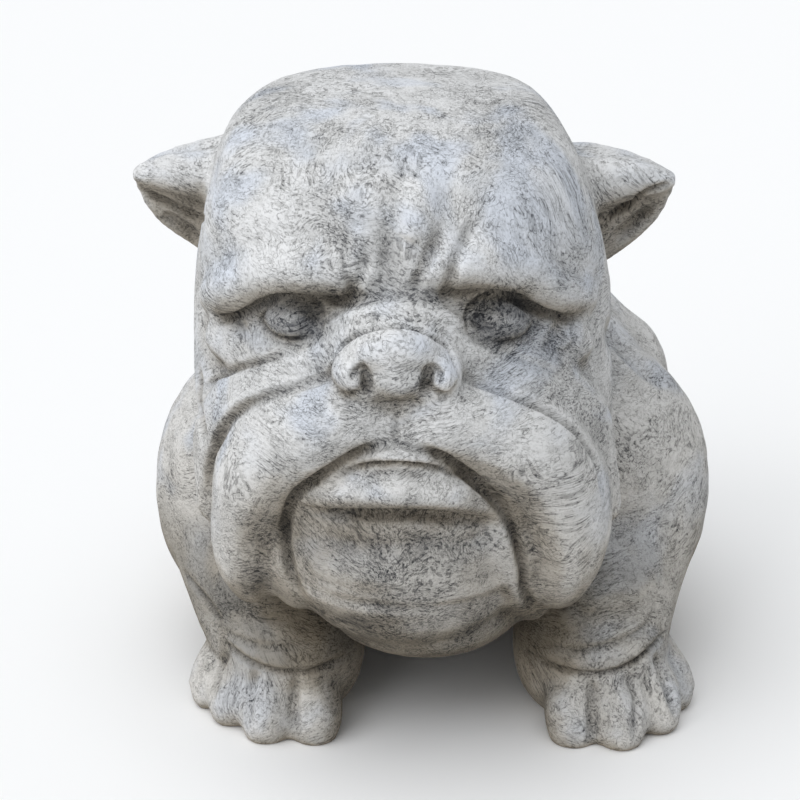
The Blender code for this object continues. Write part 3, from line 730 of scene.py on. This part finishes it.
def mark_stains_and_painted_light(shape, shift):
    """Stains, painted shade and painted highlights laid on the front of the figure where their
    marks stand.
    """
    way = read_points(shape) - np.array(Vector(EYE) * STATUE_HEIGHT + shift)
    tilt_cos, tilt_sin = math.cos(EYE_TILT), math.sin(EYE_TILT)
    ahead = way[:, 1] * tilt_cos - way[:, 2] * tilt_sin
    across = PICTURE_MIDDLE + PICTURE_REACH * way[:, 0] / ahead
    down = PICTURE_MIDDLE - PICTURE_REACH * (way[:, 1] * tilt_sin + way[:, 2] * tilt_cos) / ahead
    stain_and_painted_light = np.zeros(len(way))
    for name, mark, wide, high, strength in STAINS_AND_PAINTED_LIGHT:
        gap = np.hypot((across - mark[0]) / wide, (down - mark[1]) / high)
        stain_and_painted_light += strength * np.clip((PATCH_EDGE - gap) / (PATCH_EDGE - PATCH_CORE), 0.0, 1.0)
    stain_and_painted_light[read_points(shape, "normal")[:, 1] > PATCH_BACK] = 0.0
    add_layer(shape, "stain_and_painted_light", stain_and_painted_light)


# The sky that each spot sees: rays, how far out from straight up they spread, how far off the
# skin they start, how far they look, and the rounds of averaging that follow

SKY_RAYS = 14
SKY_SPREAD = 0.95
SKY_GAP = 0.0015
SKY_REACH = 0.6
SKY_BLUR = 4


def sky_rays():
    """Directions over the sky, each turned on from the last by the golden angle."""
    rays = []
    for k in range(SKY_RAYS):
        climb = math.sqrt((k + 0.5) / SKY_RAYS) * SKY_SPREAD
        turn = k * math.pi * (3 - math.sqrt(5))
        rays.append(Vector((climb * math.cos(turn), climb * math.sin(turn),
                            math.sqrt(1 - climb * climb))))
    return rays


def mark_shelter(shape):
    """How much of the sky above each vertex the figure itself hides, from 0 to 1."""
    tree = ray_target(shape)
    rays = sky_rays()
    hidden = np.zeros(len(shape.vertices))
    for v in shape.vertices:
        start = v.co + v.normal * SKY_GAP
        for ray in rays:
            if v.normal.dot(ray) <= 0 or tree.ray_cast(start, ray, SKY_REACH)[0] is not None:
                hidden[v.index] += 1 / SKY_RAYS
    hidden = relax(hidden[:, None], read_edges(shape), len(hidden), SKY_BLUR)[:, 0]
    # The finish paints shade where this layer is high
    add_layer(shape, "shelter", hidden)


# The finish: slate-grey clay under a brushed wash, with painted light and shade in its colour

class Painter:
    """Short calls that add nodes to a material."""

    def __init__(self, material):
        material.use_nodes = True
        self.tree = material.node_tree
        self.shader = self.tree.nodes["Principled BSDF"]

    def put(self, kind, **sockets):
        made = self.tree.nodes.new(kind)
        for name, value in sockets.items():
            self.feed(made.inputs[name.replace("_", " ")], value)
        return made

    def feed(self, socket, value):
        if isinstance(value, bpy.types.NodeSocket):
            self.tree.links.new(value, socket)
        else:
            socket.default_value = value

    def sum(self, kind, first, second=0.0, third=0.0):
        made = self.tree.nodes.new("ShaderNodeMath")
        made.operation = kind
        self.feed(made.inputs[0], first)
        self.feed(made.inputs[1], second)
        self.feed(made.inputs[2], third)
        return made.outputs[0]

    def noise(self, place, scale, detail=2.0, roughness=0.5, distortion=0.0):
        made = self.put("ShaderNodeTexNoise", Vector=place, Scale=scale, Detail=detail,
                        Roughness=roughness, Distortion=distortion)
        return made.outputs["Fac"]

    def bend(self, place, scale, reach):
        """The place, moved by smooth drifts of the given scale."""
        drift = self.put("ShaderNodeTexNoise", Vector=place, Scale=scale, Detail=1.0)
        made = self.put("ShaderNodeVectorMath")
        made.operation = "MULTIPLY_ADD"
        self.feed(made.inputs[0], drift.outputs["Color"])
        self.feed(made.inputs[1], (reach, reach, reach))
        self.feed(made.inputs[2], place)
        return made.outputs[0]

    def stretch(self, place, turn, squeeze):
        """The place, squeezed along X and Y and turned, so that noise on it runs in streaks."""
        made = self.put("ShaderNodeMapping", Vector=place, Rotation=turn,
                        Scale=(squeeze, squeeze, 1.0))
        return made.outputs[0]

    def step(self, value, low, high):
        """0 below low, 1 above high and smooth between; the other way round if low is more."""
        made = self.tree.nodes.new("ShaderNodeMapRange")
        made.interpolation_type = "SMOOTHSTEP"
        self.feed(made.inputs["Value"], value)
        made.inputs["From Min"].default_value = min(low, high)
        made.inputs["From Max"].default_value = max(low, high)
        made.inputs["To Min"].default_value = 0.0 if low < high else 1.0
        made.inputs["To Max"].default_value = 1.0 if low < high else 0.0
        return made.outputs["Result"]

    def crossing(self, value, width):
        """1 where the value passes one half, and 0 where it is a width away from it."""
        return self.step(self.sum("ABSOLUTE", self.sum("SUBTRACT", value, 0.5)), width, 0.0)

    def gather(self, total, shares):
        """The total, and each value times its share on top of it."""
        for value, share in shares:
            total = self.sum("MULTIPLY_ADD", value, share, total)
        return total

    def swing(self, total, shares):
        """The same, with each value counted from one half, so that the mean hardly moves."""
        for value, share in shares:
            rest = self.sum("SUBTRACT", total, share / 2)
            total = self.sum("MULTIPLY_ADD", value, share, rest)
        return total

    def tint(self, colour, shares):
        """The colour, multiplied by each tint as far as its share says."""
        for share, by in shares:
            made = self.tree.nodes.new("ShaderNodeMix")
            made.data_type = "RGBA"
            made.blend_type = "MULTIPLY"
            self.feed(made.inputs["Factor"], share)
            self.feed(made.inputs[6], colour)
            self.feed(made.inputs[7], by)
            colour = made.outputs[2]
        return colour

    def ramp(self, value, stops):
        made = self.tree.nodes.new("ShaderNodeValToRGB")
        self.feed(made.inputs[0], value)
        while len(made.color_ramp.elements) < len(stops):
            made.color_ramp.elements.new(0.5)
        for element, (place, colour) in zip(made.color_ramp.elements, stops):
            element.position = place
            element.color = (*colour, 1.0)
        return made.outputs[0]

    def layer(self, name):
        made = self.tree.nodes.new("ShaderNodeAttribute")
        made.attribute_name = name
        return made.outputs["Fac"]


# The wash runs from 0 for bare slate to 1 for the thickest white

WASH_COLOURS = [
    (0.00, (0.030, 0.032, 0.038)),
    (0.25, (0.110, 0.113, 0.120)),
    (0.50, (0.300, 0.300, 0.298)),
    (0.72, (0.520, 0.520, 0.515)),
    (1.00, (0.720, 0.722, 0.725)),
]
# Painted sky light: a blue tint on faces turned up
SKY_LIGHT_TINT = (0.90, 0.945, 1.03, 1.0)
# Painted shade where the figure hides the sky: first warmer, then darker
WARM_SHADE_TINT = (1.02, 0.97, 0.88, 1.0)
SHADE_TINT = (0.45, 0.42, 0.38, 1.0)
# Painted shade, darker and warmer towards the ground
LOW_SHADE_TINT = (0.905, 0.875, 0.83, 1.0)
# Painted shade on the legs under the head, where they are sheltered
LEG_SHADE_TINT = (0.62, 0.60, 0.56, 1.0)

ROUGHNESS = 0.80
ROUGHNESS_SWING = 0.16
SPECULAR = 0.3
RELIEF_STRENGTH = 0.75
RELIEF_DEPTH = 0.0011


def wrinkle_marks(paint, place, curled):
    """Short dark wrinkles of the brush, which run one way here and across it there."""
    lines = []
    for turn in ((0.5, 0.2, 0.4), (0.3, 1.3, 0.9)):
        bristle = paint.stretch(curled, turn, 0.40)
        lines.append(paint.step(paint.noise(bristle, 520.0, 1.0, 0.5), 0.475, 0.385))
    along, across = lines
    which = paint.step(paint.noise(place, 48.0, 1.0), 0.47, 0.53)
    line = paint.gather(along, [(paint.sum("SUBTRACT", across, along), which)])
    zone = paint.step(paint.noise(place, 26.0, 3.0, 0.6), 0.40, 0.62)
    return paint.sum("MULTIPLY", line, paint.sum("MULTIPLY_ADD", zone, 0.75, 0.25))


def crack_marks(paint, place, swirled):
    """Thin cracks in two sizes, each in patches of its own."""
    drawn = paint.stretch(swirled, (0.1, 0.2, 0.0), 0.62)
    veins = paint.crossing(paint.noise(drawn, 210.0, 2.0, 0.5, 0.6), 0.032)
    vein_zone = paint.step(paint.noise(place, 60.0, 3.0, 0.6), 0.44, 0.60)
    fine_veins = paint.crossing(paint.noise(drawn, 360.0, 1.0, 0.5, 0.5), 0.040)
    fine_zone = paint.step(paint.noise(place, 34.0, 3.0, 0.6), 0.38, 0.58)
    fine = paint.sum("MULTIPLY", fine_veins, paint.sum("MULTIPLY", fine_zone, 0.75))
    return paint.sum("MAXIMUM", paint.sum("MULTIPLY", veins, vein_zone), fine)


def tinted(paint, colour, swirled, facing, height, shelter):
    """Painted sky light, a blue tint on faces turned up, and painted shade, warm and dark, where
    the skin is sheltered, low or on the legs.
    """
    # Painted sky light: blue in patches, on faces turned up
    sky_tint_patches = paint.step(paint.noise(swirled, 17.0, 2.0), 0.46, 0.66)
    sky_light_share = paint.sum("MULTIPLY", sky_tint_patches, paint.step(facing, -0.35, 0.45))
    # Painted shade on the legs under the head: the band of their height
    leg_band = paint.sum("MULTIPLY", paint.step(height, 0.035, 0.065),
                     paint.step(height, 0.16, 0.11))
    return paint.tint(colour, [
        (sky_light_share, SKY_LIGHT_TINT),
        # Painted shade where the figure hides the sky: warmer, then darker
        (paint.step(shelter, 0.50, 0.90), WARM_SHADE_TINT),
        # Painted shade, darker and warmer towards the ground
        (paint.step(height, 0.34, 0.12), LOW_SHADE_TINT),
        (paint.step(shelter, 0.45, 0.95), SHADE_TINT),
        (paint.sum("MULTIPLY", leg_band, paint.step(shelter, 0.25, 0.60)), LEG_SHADE_TINT),
    ])


def brushed_stone():
    """Noise scales count waves per metre, and heights are metres above the ground."""
    material = bpy.data.materials.new("brushed stone")
    paint = Painter(material)
    place = paint.put("ShaderNodeTexCoord").outputs["Object"]
    height = paint.put("ShaderNodeSeparateXYZ", Vector=place).outputs["Z"]
    normal = paint.put("ShaderNodeNewGeometry").outputs["Normal"]
    facing = paint.put("ShaderNodeSeparateXYZ", Vector=normal).outputs["Z"]
    shelter = paint.layer("shelter")

    swirled = paint.bend(place, 7.0, 0.12)
    curled = paint.bend(swirled, 24.0, 0.045)
    broad = paint.noise(place, 9.0)
    patch = paint.noise(swirled, 30.0, 3.0, 0.55)
    streak = paint.noise(paint.stretch(swirled, (0.2, 0.35, 0.1), 0.30), 300.0, 3.0, 0.65)
    grain = paint.noise(curled, 900.0, 2.0, 0.6)
    speck = paint.step(paint.noise(place, 520.0, 2.0, 0.6), 0.52, 0.68)
    cracks = crack_marks(paint, place, swirled)
    wrinkles = wrinkle_marks(paint, place, curled)

    wash = paint.sum("MULTIPLY_ADD", broad, 0.36, 0.65)
    wash = paint.swing(wash, [(grain, 0.50), (patch, 0.60), (streak, 0.36)])
    wash = paint.gather(wash, [(cracks, -0.36), (wrinkles, -0.29), (speck, -0.18)])
    # Stains and patches of painted shade darken the wash, and painted highlights lighten it
    wash = paint.sum("SUBTRACT", wash, paint.layer("stain_and_painted_light"))
    # Painted shade: crevices and hollows are darker
    wash = paint.gather(wash, [(paint.layer("crevice_shade"), -0.13), (paint.layer("hollow"), -0.13),
                               # Painted light from above: faces turned up are lighter
                               (facing, 0.09)])
    colour = paint.ramp(wash, WASH_COLOURS)
    colour = tinted(paint, colour, swirled, facing, height, shelter)
    paint.feed(paint.shader.inputs["Base Color"], colour)
    paint.feed(paint.shader.inputs["Roughness"],
               paint.sum("MULTIPLY_ADD", patch, ROUGHNESS_SWING, ROUGHNESS))
    paint.feed(paint.shader.inputs["Metallic"], 0.0)
    paint.feed(paint.shader.inputs["Specular IOR Level"], SPECULAR)

    relief = paint.sum("MULTIPLY", streak, 0.5)
    relief = paint.gather(relief, [(cracks, -0.7), (wrinkles, -0.7), (speck, -0.3), (grain, 0.5)])
    bump = paint.put("ShaderNodeBump", Height=relief, Strength=RELIEF_STRENGTH,
                     Distance=RELIEF_DEPTH)
    paint.feed(paint.shader.inputs["Normal"], bump.outputs[0])
    return material


def make_statue():
    shape = thin_out(model_form())
    cut_sole(shape)
    shift = fit_over_solid(shape)
    mark_hollow_shade(shape)
    mark_shelter(shape)
    mark_stains_and_painted_light(shape, shift)
    shape.polygons.foreach_set("use_smooth", [True] * len(shape.polygons))
    shape.name = "statue"
    shape.materials.clear()
    shape.materials.append(brushed_stone())
    statue = put_in_scene("statue", shape)
    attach(statue, "root")
    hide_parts("bulldog")
    return shift


# The room: floor, light and camera. The floor lies a hair under the soles

FLOOR_HALF = 30.0
FLOOR_DROP = 0.0004
FLOOR_COLOUR = (0.92, 0.92, 0.92, 1.0)
FLOOR_ROUGHNESS = 0.9

ROOM_COLOUR = (0.97, 0.985, 1.0, 1.0)
ROOM_STRENGTH = 0.42

# Far, wide and soft lights: name, where each one shines from, its width in radians, strength
# and colour

LIGHTS = [
    ("sky", (-0.50, -0.55, 2.4), 1.2, 1.85, (0.97, 0.985, 1.0)),
    ("front", (-2.4, -1.8, 1.4), 1.0, 0.93, (0.99, 0.99, 1.0)),
]
LIT_POINT = (0.0, -0.05, 0.22)
NEAREST_SEEN = 0.05


def pale(name, colour):
    material = bpy.data.materials.new(name)
    material.use_nodes = True
    shader = material.node_tree.nodes["Principled BSDF"]
    shader.inputs["Base Color"].default_value = colour
    shader.inputs["Roughness"].default_value = FLOOR_ROUGHNESS
    return material


def lay_floor():
    shape = bpy.data.meshes.new("floor")
    half = FLOOR_HALF
    shape.from_pydata([(-half, -half, 0), (half, -half, 0), (half, half, 0), (-half, half, 0)],
                      [], [(0, 1, 2, 3)])
    shape.materials.append(pale("pale floor", FLOOR_COLOUR))
    floor = put_in_scene("floor", shape)
    floor.location.z = -FLOOR_DROP


def hang_light(name, place, angle, strength, colour):
    lamp = bpy.data.lights.new(name, "SUN")
    lamp.angle = angle
    lamp.energy = strength
    lamp.color = colour
    holder = put_in_scene(name, lamp)
    holder.location = place
    towards = Vector(LIT_POINT) - Vector(place)
    holder.rotation_euler = towards.to_track_quat("-Z", "Y").to_euler()


def light_room():
    world = bpy.data.worlds.new("soft room")
    world.use_nodes = True
    backdrop = world.node_tree.nodes["Background"]
    backdrop.inputs["Color"].default_value = ROOM_COLOUR
    backdrop.inputs["Strength"].default_value = ROOM_STRENGTH
    bpy.context.scene.world = world
    bpy.context.scene.view_settings.view_transform = "Standard"
    for light in LIGHTS:
        hang_light(*light)


def place_camera(shift):
    lens = bpy.data.cameras.new("camera")
    lens.sensor_width = SENSOR
    lens.lens = SENSOR * PICTURE_REACH / (2 * PICTURE_MIDDLE)
    lens.clip_start = NEAREST_SEEN
    holder = put_in_scene("camera", lens)
    holder.location = Vector(EYE) * STATUE_HEIGHT + shift
    holder.rotation_euler = (math.pi / 2 - EYE_TILT, 0.0, 0.0)
    bpy.context.scene.camera = holder


moved = make_statue()
lay_floor()
light_room()
place_camera(moved)
